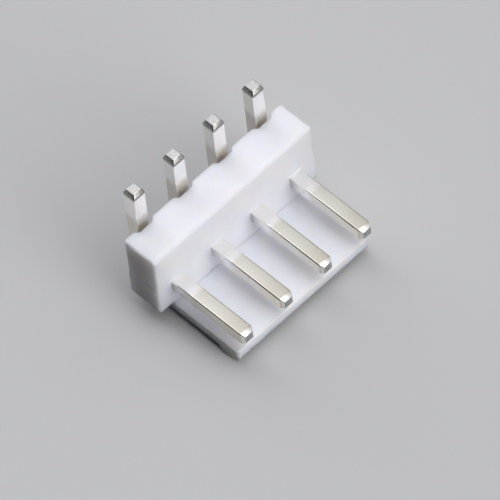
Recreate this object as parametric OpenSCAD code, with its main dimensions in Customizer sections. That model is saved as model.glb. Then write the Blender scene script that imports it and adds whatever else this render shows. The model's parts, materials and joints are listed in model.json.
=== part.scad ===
// Right-angle pin header with a lock plate, lying on the plate with its solder tails up.
// X runs along the row, the contact pins point to -Y and the solder tails to +Z.
// The origin is under the middle of the part, on the surface that it lies on.

/* [Row] */
// Number of pins in the row
ways = 4; // [2:1:8]
// Distance from one pin to the next
pitch = 3.96; // [3.5:0.02:5.08]

/* [Pins] */
// Side of the square wire
pin_w = 1.14; // [1:0.01:1.2]
// Radius along the wire's four edges
pin_edge_r = 0.12; // [0.05:0.01:0.2]
// Free length of a contact in front of the block
contact_len = 7.1; // [5:0.05:9]
// Free length of a solder tail beyond the block's seating face
tail_len = 3.85; // [2.5:0.05:5]
// Radius on the inside of the bend behind the block
bend_r = 0.3; // [0.2:0.02:0.5]
// Length of the coined taper at each tip
tip_len = 0.4; // [0.2:0.05:1.2]
// Depth of the coined taper on each of the four sides
tip_inset = 0.21; // [0.1:0.01:0.35]

/* [Block] */
// Thickness of the block, front to back
block_d = 3.05; // [2.5:0.05:4]
// Height of the block, without the foot under it
block_h = 6.2; // [5:0.1:8]
// From the centre of an outer pin to the end of the block
end_margin = 2; // [1.6:0.02:2.4]
// Height of the contact pins' centre above the block's lower edge
pin_rise = 1.98; // [1.4:0.02:2.6]
// Height of the proud band around the lower half of each end
band_h = 2.6; // [1.5:0.1:4]
// How far that band stands out from the upper half of the end
band_out = 0.04; // [0.02:0.01:0.2]
// Radius of the two upright corners at the front of the block
front_corner_r = 0.18; // [0.1:0.02:0.6]
// Radius of the two upright corners at the back of the block
back_corner_r = 0.3; // [0.1:0.02:0.6]
// Radius along the two short edges of the seating face
end_edge_r = 0.16; // [0.1:0.02:0.6]
// Radius along the front edge of the seating face
front_edge_r = 0.3; // [0.1:0.02:0.6]
// Radius along the back edge of the seating face, between the grooves
back_edge_r = 0.12; // [0.05:0.01:0.2]
// Radius along the two long lower edges of the block
low_edge_r = 0.1; // [0.05:0.01:0.3]
// Radius along the two short lower edges of the block
low_end_r = 0.44; // [0.1:0.02:0.6]

/* [Tail grooves] */
// How far the tails are sunk into the back of the block
tail_sink = 0.09; // [0.02:0.01:0.25]
// Room between a tail and the floor of its groove
groove_gap = 0.26; // [0.1:0.01:0.4]
// Room beside a tail at the floor of its groove
groove_side_gap = 0.08; // [0.05:0.01:0.2]

/* [Lock plate] */
// Reach of the lock plate in front of the block
plate_len = 6.36; // [4:0.02:8]
// Thickness of the lock plate
plate_t = 0.91; // [0.7:0.01:1.2]
// From the centre of an outer pin to the side of the plate
plate_margin = 0.61; // [0.4:0.01:1]
// Step from the block's lower edge down to the plate's inner face
plate_drop = 0.1; // [0.02:0.02:0.6]
// Radius of the plate's two front corners
plate_corner_r = 0.16; // [0.1:0.02:0.8]
// Radius along the upper edge of the plate's front end
plate_nose_r = 0.12; // [0.05:0.01:0.2]
// Radius where the plate's inner face meets the block
root_r = 0.12; // [0.06:0.02:0.4]
// Height of the lock ramp under the plate
ramp_h = 0.65; // [0.4:0.05:0.9]
// From the plate's front end back to the crest of the ramp
ramp_len = 1.6; // [1:0.1:2.5]
// Length of the steep heel behind the crest
heel_len = 0.4; // [0.2:0.05:0.8]
// Width of the flat along the crest
crest_w = 0.15; // [0.05:0.05:0.3]

/* [Fit] */
// Clearance on each side of a pin in its hole
pin_clear = 0.01; // [0.01:0.01:0.05]

/* [Hidden] */

row_len = (ways - 1) * pitch;
block_len = row_len + 2 * end_margin;
plate_w = row_len + 2 * plate_margin;

plate_z0 = ramp_h;
plate_z1 = plate_z0 + plate_t;
block_z0 = plate_z1 + plate_drop;
block_z1 = block_z0 + block_h;
pin_z = block_z0 + pin_rise;

// Depths are counted from the block's front face, backwards
tail_front = block_d - tail_sink;
tail_y = tail_front + pin_w / 2;
bend_y = tail_front - bend_r;
bend_z = pin_z + pin_w / 2 + bend_r;
groove_d = tail_sink + groove_gap;
rear_reach = tail_y + pin_w / 2;
front_reach = max(contact_len, plate_len);
front_y = (front_reach - rear_reach) / 2;

// The foot's sides reach this far up into the block, past its rounded lower edges
foot_tie = 2 * low_edge_r;
ramp_back = -plate_len + ramp_len;
groove_floor = pin_w / 2 + groove_side_gap;
tip_slope = tip_inset / tip_len;

// How far a cutting shape runs past what it cuts
spare = 1;
arc_fn = 48;

// A Y-Z outline drawn out along X, centred
module along_x(length) {
    rotate([90, 0, 90]) linear_extrude(length, center = true) children();
}

// An X-Z outline drawn out along Y
module along_y(from, to) {
    translate([0, to, 0]) rotate([90, 0, 0]) linear_extrude(to - from) children();
}

// An X-Y outline drawn out along Z
module along_z(from, to) {
    translate([0, 0, from]) linear_extrude(to - from) children();
}

// What a radius takes off the corner at the origin of a shape that fills +X and +Y
module corner_waste(r) {
    difference() {
        translate([-spare, -spare]) square(spare + r);
        translate([r, r]) circle(r, $fn = arc_fn);
    }
}

// What a radius fills in the inner corner at the origin of a shape that leaves +X and +Y open
module corner_fill(r) {
    difference() {
        square(r);
        translate([r, r]) circle(r, $fn = arc_fn);
    }
}

// A rectangle with a radius for each corner, counted round from the lower left one
module round_rect(x0, y0, x1, y1, r) {
    difference() {
        translate([x0, y0]) square([x1 - x0, y1 - y0]);
        translate([x0, y0]) corner_waste(r[0]);
        translate([x1, y0]) mirror([1, 0]) corner_waste(r[1]);
        translate([x1, y1]) rotate(180) corner_waste(r[2]);
        translate([x0, y1]) mirror([0, 1]) corner_waste(r[3]);
    }
}

// A block that is rounded in all three views, with its own radii along its upper edges
module round_block(length, top, end_r, front_r, back_r) {
    half = length / 2;
    intersection() {
        along_z(block_z0 - spare, top + spare)
            round_rect(-half, 0, half, block_d,
                [front_corner_r, front_corner_r, back_corner_r, back_corner_r]);
        along_x(length + 2 * spare)
            round_rect(0, block_z0, block_d, top, [low_edge_r, low_edge_r, back_r, front_r]);
        along_y(-spare, block_d + spare)
            round_rect(-half, block_z0, half, top, [low_end_r, low_end_r, end_r, end_r]);
    }
}

// The block: the full-height body, and the proud band around its lower half
module block() {
    round_block(block_len - 2 * band_out, block_z1, end_edge_r, front_edge_r, back_edge_r);
    round_block(block_len, block_z0 + band_h, band_out / 2, band_out / 2, band_out / 2);
}

// Side view of the lock plate, with the ramp under its front end and the foot under the block
module plate_outline() {
    difference() {
        polygon([
            [0, plate_z1], [-plate_len, plate_z1], [-plate_len, plate_z0],
            [ramp_back - crest_w, 0], [ramp_back, 0], [ramp_back + heel_len, plate_z0],
            [block_d, plate_z0], [block_d, block_z0 + foot_tie], [0, block_z0 + foot_tie]
        ]);
        translate([-plate_len, plate_z1]) mirror([0, 1]) corner_waste(plate_nose_r);
    }
    translate([0, plate_z1]) mirror([1, 0]) corner_fill(root_r);
}

module lock_plate() {
    intersection() {
        along_x(plate_w) plate_outline();
        along_z(-spare, block_z1)
            round_rect(-plate_w / 2, -plate_len, plate_w / 2, block_d + spare,
                [plate_corner_r, plate_corner_r, plate_corner_r, plate_corner_r]);
    }
}

// A groove in the back of the block, with flared sides, from under the pin up to the seating face
module tail_groove() {
    mouth = groove_floor + groove_d + spare;
    along_z(pin_z - groove_floor, block_z1 + spare)
        polygon([
            [-groove_floor, block_d - groove_d], [groove_floor, block_d - groove_d],
            [mouth, block_d + spare], [-mouth, block_d + spare]
        ]);
}

// Section of the square wire, with its edges rounded
module wire_section(w) {
    flat_w = w - 2 * pin_edge_r;
    square([flat_w, w], center = true);
    square([w, flat_w], center = true);
    for (x = [-1, 1], y = [-1, 1])
        translate([x, y] * flat_w / 2) circle(pin_edge_r, $fn = arc_fn);
}

// Side view of a tip's taper, wide enough at the start to leave the wire alone
module taper_outline(length, w) {
    end_half = w / 2 - tip_inset;
    polygon([
        [end_half, length], [-end_half, length],
        [-end_half - length * tip_slope, 0], [end_half + length * tip_slope, 0]
    ]);
}

// A straight length of wire along +Z, with its coined tip at the far end
module tipped_wire(length, w) {
    intersection() {
        linear_extrude(length) wire_section(w);
        rotate([90, 0, 0]) linear_extrude(2 * w, center = true) taper_outline(length, w);
        rotate([90, 0, 90]) linear_extrude(2 * w, center = true) taper_outline(length, w);
    }
}

// One bent pin: the contact through the block, the bend behind it and the solder tail.
// With some clearance added it is also the shape of the pin's hole.
module bent_wire(clearance = 0) {
    w = pin_w + 2 * clearance;
    translate([0, bend_y, pin_z]) rotate([90, 0, 0]) tipped_wire(bend_y + contact_len, w);
    translate([0, bend_y, bend_z]) rotate([90, 0, 90]) rotate(-90)
        rotate_extrude(angle = 90, $fn = arc_fn)
            translate([bend_r + pin_w / 2, 0]) wire_section(w);
    translate([0, tail_y, bend_z]) tipped_wire(block_z1 + tail_len - bend_z, w);
}

// Places its children at pin number i, counted from -X
module at_pin(i) {
    translate([(i - (ways + 1) / 2) * pitch, 0, 0]) children();
}

module housing() {
    color("ghostwhite") translate([0, front_y, 0]) difference() {
        union() {
            block();
            lock_plate();
        }
        for (i = [1:ways]) at_pin(i) {
            tail_groove();
            bent_wire(pin_clear);
        }
    }
}

module pin(i) {
    color("silver") translate([0, front_y, 0]) at_pin(i) bent_wire();
}

housing();
for (i = [1:ways])
    pin(i);
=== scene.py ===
import math
import bpy
from mathutils import Matrix, Vector
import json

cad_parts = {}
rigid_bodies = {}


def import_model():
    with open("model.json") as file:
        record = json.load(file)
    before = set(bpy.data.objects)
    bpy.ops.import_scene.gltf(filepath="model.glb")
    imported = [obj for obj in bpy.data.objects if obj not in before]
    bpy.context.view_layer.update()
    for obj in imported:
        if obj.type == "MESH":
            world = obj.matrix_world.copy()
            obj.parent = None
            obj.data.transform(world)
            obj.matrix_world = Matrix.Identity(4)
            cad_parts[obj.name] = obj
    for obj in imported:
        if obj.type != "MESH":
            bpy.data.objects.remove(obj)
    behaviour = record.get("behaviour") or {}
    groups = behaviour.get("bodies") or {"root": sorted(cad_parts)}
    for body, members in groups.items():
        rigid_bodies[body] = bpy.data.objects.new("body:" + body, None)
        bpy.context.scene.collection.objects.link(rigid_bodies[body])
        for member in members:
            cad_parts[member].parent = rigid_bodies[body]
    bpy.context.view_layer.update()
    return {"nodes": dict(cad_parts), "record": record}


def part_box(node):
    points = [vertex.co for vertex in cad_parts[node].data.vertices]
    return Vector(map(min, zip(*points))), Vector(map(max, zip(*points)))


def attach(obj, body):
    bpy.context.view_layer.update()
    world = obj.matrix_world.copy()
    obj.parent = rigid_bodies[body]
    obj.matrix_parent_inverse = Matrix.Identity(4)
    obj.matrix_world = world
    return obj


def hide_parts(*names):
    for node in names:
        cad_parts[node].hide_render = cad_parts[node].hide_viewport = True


for leftover in list(bpy.data.objects):
    bpy.data.objects.remove(leftover)
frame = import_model()
scene = bpy.context.scene
scene.view_settings.view_transform = "Standard"
mm = 0.001


class Sock:
    # wraps a node socket so that shader maths reads as plain expressions
    def __init__(self, graph, socket):
        self.graph, self.socket = graph, socket

    def maths(self, operation, *values):
        return self.graph.add("Math", {"operation": operation}, *values)

    def __add__(self, other): return self.maths("ADD", self, other)
    def __radd__(self, other): return self.maths("ADD", other, self)
    def __sub__(self, other): return self.maths("SUBTRACT", self, other)
    def __rsub__(self, other): return self.maths("SUBTRACT", other, self)
    def __mul__(self, other): return self.maths("MULTIPLY", self, other)
    def __rmul__(self, other): return self.maths("MULTIPLY", other, self)
    def __truediv__(self, other): return self.maths("DIVIDE", self, other)
    def __rtruediv__(self, other): return self.maths("DIVIDE", other, self)
    def __abs__(self): return self.maths("ABSOLUTE", self)
    def floor(self): return self.maths("FLOOR", self)
    def low(self, other): return self.maths("MINIMUM", self, other)
    def high(self, other): return self.maths("MAXIMUM", self, other)

    def ramp(self, start, end):
        # 0 before start, 1 after end, eased between them
        return self.graph.add("MapRange", {"interpolation_type": "SMOOTHSTEP"},
                              self, start, end, 0.0, 1.0)


class Graph:
    # the nodes of one material, or of the sky
    def __init__(self, owner, kind="Material"):
        owner.use_nodes = True
        self.owner, self.tree = owner, owner.node_tree
        self.tree.nodes.clear()
        self.end = self.tree.nodes.new("ShaderNodeOutput" + kind)

    def add(self, kind, settings=None, *values, out=0, **named):
        # any node: its settings first, then values or links by place, then by name
        node = self.tree.nodes.new("ShaderNode" + kind)
        for key, value in (settings or {}).items():
            setattr(node, key, value)
        for place, value in [*enumerate(values), *named.items()]:
            target = node.inputs[place.replace("_", " ") if isinstance(place, str) else place]
            if isinstance(value, Sock):
                self.tree.links.new(value.socket, target)
            else:
                target.default_value = value
        return Sock(self, node.outputs[out])

    def mix(self, factor, first, second):
        # two colours blended by a factor
        node = self.tree.nodes.new("ShaderNodeMix")
        node.data_type = "RGBA"
        for place, value in ((0, factor), (6, first), (7, second)):
            if isinstance(value, Sock):
                self.tree.links.new(value.socket, node.inputs[place])
            else:
                node.inputs[place].default_value = value
        return Sock(self, node.outputs[2])

    def finish(self, shader):
        self.tree.links.new(shader.socket, self.end.inputs["Surface"])
        return self.owner


def rgb(red, green, blue):
    return (red, green, blue, 1.0)


# places that the CAD record gives
mounts = {mount["name"]: mount for mount in frame["record"]["mounts"]}
frontY = mounts["rest_face"]["pos_m"][1]      # front face of the block
topZ = mounts["board_seat"]["pos_m"][2]       # seating face
pinZ = mounts["contact_row"]["pos_m"][2]      # centre line of the contacts
pitch = mounts["contact_row"]["dims"]["spacing_x_mm"] * mm
bodyLow, bodyHigh = (Vector(corner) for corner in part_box("housing"))
wireLow, wireHigh = (Vector(corner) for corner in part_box("pin_1"))
wireHalf = (wireHigh.x - wireLow.x) / 2


def outwards(azimuth, elevation):
    # from the part towards a place that is seen from it at these angles
    a, e = math.radians(azimuth), math.radians(elevation)
    return Vector((math.sin(a) * math.cos(e), -math.cos(a) * math.cos(e), math.sin(e)))


def facing(back):
    # the turn of a camera or a lamp that looks against this direction
    return (-back).to_track_quat("-Z", "Y").to_matrix().to_4x4()


# camera
cameraSet = {"azimuth": -39.26, "elevation": 55.52, "roll": 7.37, "distance": 734.9 * mm, "lens": 747.4,
             "aim": (0.0, 0.365 * mm, 2.155 * mm), "nearest": 0.05, "furthest": 10.0}


def makeCamera(spec, name):
    back = outwards(spec["azimuth"], spec["elevation"])
    data = bpy.data.cameras.new(name)
    data.lens = spec["lens"]
    data.clip_start, data.clip_end = spec["nearest"], spec["furthest"]
    camera = bpy.data.objects.new(name, data)
    place = Matrix.Translation(Vector(spec["aim"]) + back * spec["distance"])
    camera.matrix_world = place @ facing(back) @ Matrix.Rotation(math.radians(-spec["roll"]), 4, "Z")
    scene.collection.objects.link(camera)
    scene.camera = camera


makeCamera(cameraSet, "camera")
print("camera ready")

# sky: a soft arch of light over the part from front to back, fading to the right
skySet = {"level": 2.37, "left": (-0.31, -0.06), "right": (0.15, 0.45), "fade": 0.80,
          "front": 0.38, "low": 0.25, "rest": 0.01,
          "frontTint": (0.995, 0.995, 1.0), "backTint": (0.98, 0.985, 1.05)}
# lamp: a small round one, high on the right
lampSet = {"azimuth": 71.5, "elevation": 68.4, "distance": 1.5, "size": 0.75, "glow": 0.25}


def makeSky(spec, name):
    g = Graph(bpy.data.worlds.new(name), "World")
    x, y = (g.add("SeparateXYZ", None, g.add("TexCoord", out="Generated"), out=axis) for axis in "XY")
    arch = x.ramp(*spec["left"]) * (1 - spec["fade"] * x.ramp(*spec["right"]))
    strength = spec["rest"] + spec["level"] * arch * (1 - spec["front"] * y + spec["low"] * y * y)
    colour = g.mix(y.ramp(-1.0, 1.0), rgb(*spec["frontTint"]), rgb(*spec["backTint"]))
    return g.finish(g.add("Background", None, colour, strength))


def makeLamp(spec, name):
    back = outwards(spec["azimuth"], spec["elevation"])
    data = bpy.data.lights.new(name, "AREA")
    data.shape = "DISK"
    data.size = spec["size"]
    data.energy = spec["glow"] * math.pi * math.pi * (spec["size"] / 2) ** 2
    lamp = bpy.data.objects.new(name, data)
    lamp.matrix_world = Matrix.Translation(back * spec["distance"]) @ facing(back)
    lamp.visible_camera = False
    scene.collection.objects.link(lamp)


scene.world = makeSky(skySet, "studio")
makeLamp(lampSet, "lamp")
print("lights ready")

# floor: pale to the eye and in reflections, dark to the light that it throws back
floorSet = {"size": 6.0, "grey": 0.55, "bounce": 0.06, "roughness": 0.9}


def makeFloor(spec, name):
    bpy.ops.object.select_all(action="DESELECT")
    bpy.ops.mesh.primitive_plane_add(size=spec["size"], location=(0, 0, 0))
    floor = bpy.context.object
    floor.name = name
    g = Graph(bpy.data.materials.new("paleFloor"))
    camera, glossy, through = (g.add("LightPath", out=f"Is {ray} Ray")
                               for ray in ("Camera", "Glossy", "Transmission"))
    tone = g.mix(camera.high(glossy).high(through), rgb(*[spec["bounce"]] * 3), rgb(*[spec["grey"]] * 3))
    floor.data.materials.append(
        g.finish(g.add("BsdfPrincipled", None, Base_Color=tone, Roughness=spec["roughness"])))
    return floor


makeFloor(floorSet, "floor")
print("floor ready")

# pins: square wire with rounded edges, one bend and a coined tip at each end
pinSet = {"edgeRadius": 0.12 * mm, "edgeSteps": 4, "bendRadius": 0.3 * mm, "bendSteps": 14,
          "tipLength": 0.4 * mm, "tipInset": 0.21 * mm, "tipSteps": 12,
          "shoulder": 0.3, "rim": 0.1, "rimShare": 0.06,    # parts of the tip's length and inset
          "endMargin": 0.03 * mm, "smoothBelow": 35}


def pickFaces(test):
    # leaves edit mode with only the faces selected that pass the test
    bpy.ops.mesh.select_mode(type="FACE")
    bpy.ops.mesh.select_all(action="DESELECT")
    bpy.ops.object.mode_set(mode="OBJECT")
    for face in bpy.context.object.data.polygons:
        face.select = test(face)
    bpy.ops.object.mode_set(mode="EDIT")


def tipInset(spec, along):
    # how far a tip has narrowed at this share of its length: eased in, straight, eased at the rim
    ease, rim = spec["shoulder"], spec["rim"]
    taper = along * along / (2 * ease) if along < ease else along - ease / 2
    roll = max(0.0, (along - 1 + rim) / rim) ** 2
    return spec["tipInset"] * ((1 - spec["rimShare"]) * taper / (1 - ease / 2) + spec["rimShare"] * roll)


def coinedTip(spec, direction, centre, half):
    # pushes the selected end face out in small steps, narrowing it as it goes
    before = 1.0
    for step in range(1, spec["tipSteps"] + 1):
        along = step / spec["tipSteps"]
        now = (half - tipInset(spec, along)) / half
        bpy.ops.mesh.extrude_region_move(
            TRANSFORM_OT_translate={"value": direction * spec["tipLength"] / spec["tipSteps"]})
        bpy.ops.transform.resize(value=[now / before] * 3,
                                 center_override=centre + direction * spec["tipLength"] * along)
        before = now
    bpy.ops.mesh.inset(thickness=spec["endMargin"])


def makePin(spec, low, high, name):
    # one wire: section at the start of the bend, bend and tail upwards, then the contact forwards
    width = high.x - low.x
    half = width / 2
    tailY = high.y - half
    contactZ = low.z + half
    bendY = tailY - half - spec["bendRadius"]
    bendZ = contactZ + half + spec["bendRadius"]
    middle = (low.x + high.x) / 2
    start = Vector((middle, bendY, contactZ))
    bpy.ops.object.select_all(action="DESELECT")
    bpy.ops.mesh.primitive_plane_add(size=width, location=start, rotation=(math.radians(90), 0, 0))
    pin = bpy.context.object
    pin.name = name
    bpy.ops.object.transform_apply(location=True, rotation=True, scale=True)
    bpy.ops.object.mode_set(mode="EDIT")
    bpy.ops.mesh.select_all(action="SELECT")
    bpy.ops.mesh.bevel(affect="VERTICES", offset=spec["edgeRadius"], segments=spec["edgeSteps"], profile=0.5)
    bpy.ops.mesh.select_all(action="SELECT")
    bpy.ops.mesh.spin(steps=spec["bendSteps"], angle=math.radians(90), axis=(-1, 0, 0),
                      center=(middle, bendY, bendZ))
    shoulder = high.z - spec["tipLength"]
    bpy.ops.mesh.extrude_region_move(TRANSFORM_OT_translate={"value": (0, 0, shoulder - bendZ)})
    coinedTip(spec, Vector((0, 0, 1)), Vector((middle, tailY, shoulder)), half)
    # the first section again, which is still open
    pickFaces(lambda face: abs(face.center.y - bendY) < 1e-7 and abs(face.normal.y) > 0.99)
    shoulder = low.y + spec["tipLength"]
    bpy.ops.mesh.extrude_region_move(TRANSFORM_OT_translate={"value": (0, shoulder - bendY, 0)})
    coinedTip(spec, Vector((0, -1, 0)), Vector((middle, shoulder, contactZ)), half)
    bpy.ops.mesh.select_all(action="SELECT")
    bpy.ops.mesh.remove_doubles(threshold=0.0001 * mm)
    bpy.ops.mesh.normals_make_consistent(inside=False)
    bpy.ops.object.mode_set(mode="OBJECT")
    bpy.ops.object.shade_smooth_by_angle(angle=math.radians(spec["smoothBelow"]))
    even = pin.modifiers.new("even", "WEIGHTED_NORMAL")
    even.keep_sharp = True
    bpy.ops.object.modifier_apply(modifier=even.name)
    scene.cursor.location = (0, 0, 0)
    bpy.ops.object.origin_set(type="ORIGIN_CURSOR")
    return pin


def copyPin(pin, shift, name):
    bpy.ops.object.select_all(action="DESELECT")
    pin.select_set(True)
    bpy.context.view_layer.objects.active = pin
    bpy.ops.object.duplicate(linked=False)
    copy = bpy.context.object
    copy.name = name
    copy.location = (shift, 0, 0)
    bpy.ops.object.transform_apply(location=True, rotation=False, scale=False)
    return copy


pinNames = sorted(name for name in frame["nodes"] if name.startswith("pin"))
wires = [makePin(pinSet, wireLow, wireHigh, "wire_1")]
for count, name in enumerate(pinNames[1:], 2):
    wires.append(copyPin(wires[0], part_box(name)[0][0] - wireLow.x, f"wire_{count}"))
for wire, name in zip(wires, pinNames):
    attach(wire, "root")
    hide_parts(name)
print("pins ready:", len(wires[0].data.polygons), "faces each")


def places(g):
    # object coordinates in millimetres: whole, and along X, Y and Z
    whole = g.add("VectorMath", {"operation": "SCALE"}, g.add("TexCoord", out="Object"), Scale=1 / mm)
    return whole, *(g.add("SeparateXYZ", None, whole, out=axis) for axis in "XYZ")


def noise(g, where, scale, detail=2.0, roughness=0.5):
    return g.add("TexNoise", None, where, Scale=scale, Detail=detail, Roughness=roughness, out="Fac")


def middleOf(x):
    # the middle of the pin that is nearest, and its number counted from the row's centre
    count = (x / (pitch / mm)).floor()
    return (count + 0.5) * (pitch / mm), count


# white nylon: satin mould finish, faintly cloudy, a little rubbed and smoother along its edges, where
# painted shade darkens it. Lengths in mm
nylonSet = {"base": (0.87, 0.865, 0.93), "cloud": (0.84, 0.845, 0.89), "edgeShade": (0.77, 0.77, 0.80),
            "shade": (0.60, 0.59, 0.58), "fleck": (0.42, 0.38, 0.32),
            "plateHalf": 6.55, "plateTop": 1.56, "bandTop": 4.26,
            "cloudScale": 0.45, "grainScale": 7.0, "waveScale": 0.6, "fleckScale": 1.1,
            "edgeShadeFrom": 0.05, "edgeShadeTo": 0.32, "edgeShadeAmount": 0.8, "stepShade": 0.8, "rootShadeAmount": 0.2,
            "fleckAmount": 0.45, "roughness": 0.5, "grain": 0.0007, "waviness": 0.003,
            "glow": (1.0, 0.86, 0.7), "glowDepth": 1.4, "skin": (0.1, 0.5)}


def makeNylon(spec):
    g = Graph(bpy.data.materials.new("whiteNylon"))
    whole, x, y, z = places(g)
    side = abs(x)
    front, back = frontY / mm, bodyHigh.y / mm
    top, nose, end = topZ / mm, bodyLow.y / mm, bodyHigh.x / mm
    # how far each point lies from the nearest outer edge of the block or the plate
    toTop, toFront, toBack, toEnd = top - z, abs(y - front), back - y, end - side
    toInner, toNose, toSide = abs(z - spec["plateTop"]), y - nose, abs(side - spec["plateHalf"])
    edge = toTop.high(y - front)
    for first, second in ((toTop, toBack), (toTop, toEnd), (toFront, toEnd), (toBack, toEnd),
                          (toInner, toNose), (toInner, toSide), (toNose, toSide)):
        edge = edge.low(first.high(second))
    cloud = noise(g, whole, spec["cloudScale"], 3.0)
    grain = noise(g, whole, spec["grainScale"], 4.0, 0.6)
    wave = noise(g, whole, spec["waveScale"], 1.0)
    # painted shade along every outer edge, darkening the bright rim that the light puts there; the same mask
    # makes the edges a little smoother
    edgeShadeAndRub = 1 - (edge + 0.12 * (grain - 0.5)).ramp(spec["edgeShadeFrom"], spec["edgeShadeTo"])
    # painted shade over the small step across each end, dulling the light that its edge catches
    step = (1 - abs(z - spec["bandTop"]).ramp(0.02, 0.07)) * (1 - toEnd.ramp(0.06, 0.12))
    # painted shade on the front face, darker down towards the plate's root
    rise = z - spec["plateTop"] + 0.8 * (cloud - 0.5)
    root = (1 - rise.ramp(0.0, 2.6)) * (1 - toFront.ramp(0.05, 0.2))
    # a few stray flecks in the moulding
    away, lot = (g.add("TexVoronoi", {"feature": "F1"}, whole, Scale=spec["fleckScale"], out=name)
                 for name in ("Distance", "Color"))
    fleck = (1 - away.ramp(0.025, 0.045)) * g.add("SeparateColor", None, lot).ramp(0.9, 0.93)
    colour = g.mix(cloud.ramp(0.35, 0.7), rgb(*spec["base"]), rgb(*spec["cloud"]))
    colour = g.mix(edgeShadeAndRub * spec["edgeShadeAmount"], colour, rgb(*spec["edgeShade"]))
    colour = g.mix((step * spec["stepShade"]).high(root * spec["rootShadeAmount"]), colour, rgb(*spec["shade"]))
    colour = g.mix(fleck * spec["fleckAmount"], colour, rgb(*spec["fleck"]))
    rough = spec["roughness"] + 0.12 * (grain - 0.5) + 0.08 * (cloud - 0.5) - 0.04 * edgeShadeAndRub
    bump = g.add("Bump", None, Strength=1.0, Distance=mm,
                 Height=spec["grain"] * grain + spec["waviness"] * wave)
    surface = {"Base_Color": colour, "Roughness": rough, "Normal": bump, "Specular_IOR_Level": 0.2}
    deep = g.add("BsdfPrincipled", None, **surface, Subsurface_Weight=1.0,
                 Subsurface_Radius=spec["glow"], Subsurface_Scale=spec["glowDepth"] * mm)
    shallow = g.add("BsdfPrincipled", None, **surface)
    # the glow inside the nylon stops short of the pins, where a thin skin is pressed against them
    seat = abs(x - middleOf(x)[0]).high(abs(z - pinZ / mm)) - wireHalf / mm
    near = (1 - seat.ramp(*spec["skin"])) * (1 - toFront.ramp(0.1, 0.3))
    return g.finish(g.add("MixShader", None, near, deep, shallow))


# bright tin over brass: drawn lines along the wire, mottled, duller where it is worn, with painted shade at
# the tails' foot, on the tips' tapers, on the contacts' sides by the block and on the contacts' end faces.
# Lengths in mm
tinSet = {"base": (0.96, 0.95, 0.925), "spot": (0.80, 0.79, 0.74), "tailFootShadeAndDull": (0.56, 0.51, 0.42),
          "tailCut": (0.54, 0.53, 0.505), "contactEndShade": (0.22, 0.217, 0.21),
          "tipShadeAndDull": (0.26, 0.255, 0.24), "worn": (0.70, 0.665, 0.56), "seatShade": (0.54, 0.54, 0.53),
          "across": 14.0, "along": 0.6, "mottleScale": 6.5, "patchScale": 0.8, "shearScale": 9.0,
          "wornFrom": (2.3, 1.6), "wornMore": (6.5, 4.0), "seatShadeFrom": (1.3, 0.2),
          "tailShadeFull": 0.55, "tailShadeGone": 1.5, "tipShadeFrom": (0.6, 0.42),
          "roughness": 0.2, "mottle": 0.0005, "lines": 0.0004, "shear": 0.002}


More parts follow.
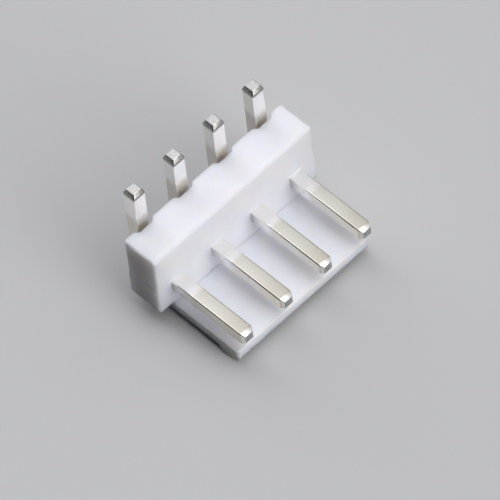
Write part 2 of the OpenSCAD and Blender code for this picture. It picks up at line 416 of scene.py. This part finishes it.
def makeTin(spec):
    g = Graph(bpy.data.materials.new("tinPlate"))
    x, y, z = places(g)[1:]
    front, top, axis, half = frontY / mm, topZ / mm, pinZ / mm, wireHalf / mm
    contactEnd, tailEnd = wireLow.y / mm, wireHigh.z / mm
    # each pin gets its own part of the patterns
    middle, count = middleOf(x)
    own = g.add("CombineXYZ", None, x - middle + count * 9.0, y, z)
    tail = z.ramp(axis + half, axis + 3 * half)
    alongY, alongZ = (g.add("VectorMath", {"operation": "MULTIPLY"}, own, stretch)
                      for stretch in ((spec["across"], spec["along"], spec["across"]),
                                      (spec["across"], spec["across"], spec["along"])))
    lines = noise(g, alongY, 1.0) * (1 - tail) + noise(g, alongZ, 1.0) * tail
    mottle = noise(g, own, spec["mottleScale"], 3.0, 0.6)
    patch = noise(g, own, spec["patchScale"])
    shear = noise(g, own, spec["shearScale"], 3.0, 0.7)
    # cleaner beside the block
    beside = y.ramp(*(front - reach for reach in spec["wornFrom"])) * (1 - tail)
    spot = (mottle.ramp(0.4, 0.75) * 0.5 + lines.ramp(0.45, 0.7) * 0.4) * (1 - 0.6 * beside)
    # the contacts are worn a little duller where they slide, most of all towards their tips
    worn = 1 - (y + 0.3 * (patch - 0.5)).ramp(*(front - reach for reach in spec["wornFrom"]))
    worn = worn * (1 - 0.3 * y.ramp(*(front - reach for reach in spec["wornMore"])))
    worn = worn * y.ramp(contactEnd + 0.1, contactEnd + 0.42)
    # painted shade, grey, on the contacts' sides where they leave the block: a dark reflection of the
    # block's shaded foot painted on
    seatShade = y.ramp(*(front - reach for reach in spec["seatShadeFrom"])) * (1 - tail) * (
        1 - z.ramp(axis + half - 0.14, axis + half - 0.04))
    # the ends are sheared, the rest is drawn and plated
    cut = z.ramp(tailEnd - 0.03, tailEnd - 0.01).high(1 - y.ramp(contactEnd + 0.01, contactEnd + 0.03))
    # painted shade on the tapers of the tails' tips, a dark reflection painted on; the tin there is rougher
    # too
    tipShadeAndDull = z.ramp(*(tailEnd - reach for reach in spec["tipShadeFrom"])) * (1 - cut)
    # painted shade on the tails just above the seating face, a dark brown reflection of the shaded groove
    # painted on; the tin there is rougher too
    above = z - top + 0.5 * (patch - 0.5) + 0.25 * (lines - 0.5)
    tailFootShadeAndDull = tail * (1 - above.ramp(spec["tailShadeFull"], spec["tailShadeGone"]))
    colour = g.mix(spot, rgb(*spec["base"]), rgb(*spec["spot"]))
    colour = g.mix(worn, colour, rgb(*spec["worn"]))
    colour = g.mix(seatShade * 0.6, colour, rgb(*spec["seatShade"]))
    colour = g.mix(tailFootShadeAndDull * 0.6, colour, rgb(*spec["tailFootShadeAndDull"]))
    colour = g.mix(tipShadeAndDull * (0.7 + 0.3 * shear.ramp(0.35, 0.65)), colour, rgb(*spec["tipShadeAndDull"]))
    # the contacts' end faces take a painted shade, a dark reflection painted on; the tails' ends keep the
    # grey of sheared metal
    cutAndEndShade = g.mix(tail, rgb(*spec["contactEndShade"]), rgb(*spec["tailCut"]))
    colour = g.mix(cut * (0.55 + 0.45 * shear.ramp(0.4, 0.7)), colour, cutAndEndShade)
    rough = (spec["roughness"] + 0.10 * (lines - 0.5) + 0.12 * (mottle - 0.5)
             + 0.12 * cut + 0.12 * tailFootShadeAndDull + 0.08 * tipShadeAndDull)
    bump = g.add("Bump", None, Strength=1.0, Distance=mm,
                 Height=spec["lines"] * lines + spec["mottle"] * mottle + spec["shear"] * cut * shear)
    return g.finish(g.add("BsdfPrincipled", None, Base_Color=colour, Roughness=rough, Normal=bump,
                          Metallic=1.0))


nylon, tin = makeNylon(nylonSet), makeTin(tinSet)
for name, thing in frame["nodes"].items():
    thing.material_slots[0].material = nylon if name == "housing" else tin
for wire in wires:
    wire.data.materials.clear()
    wire.data.materials.append(tin)
print("materials ready")
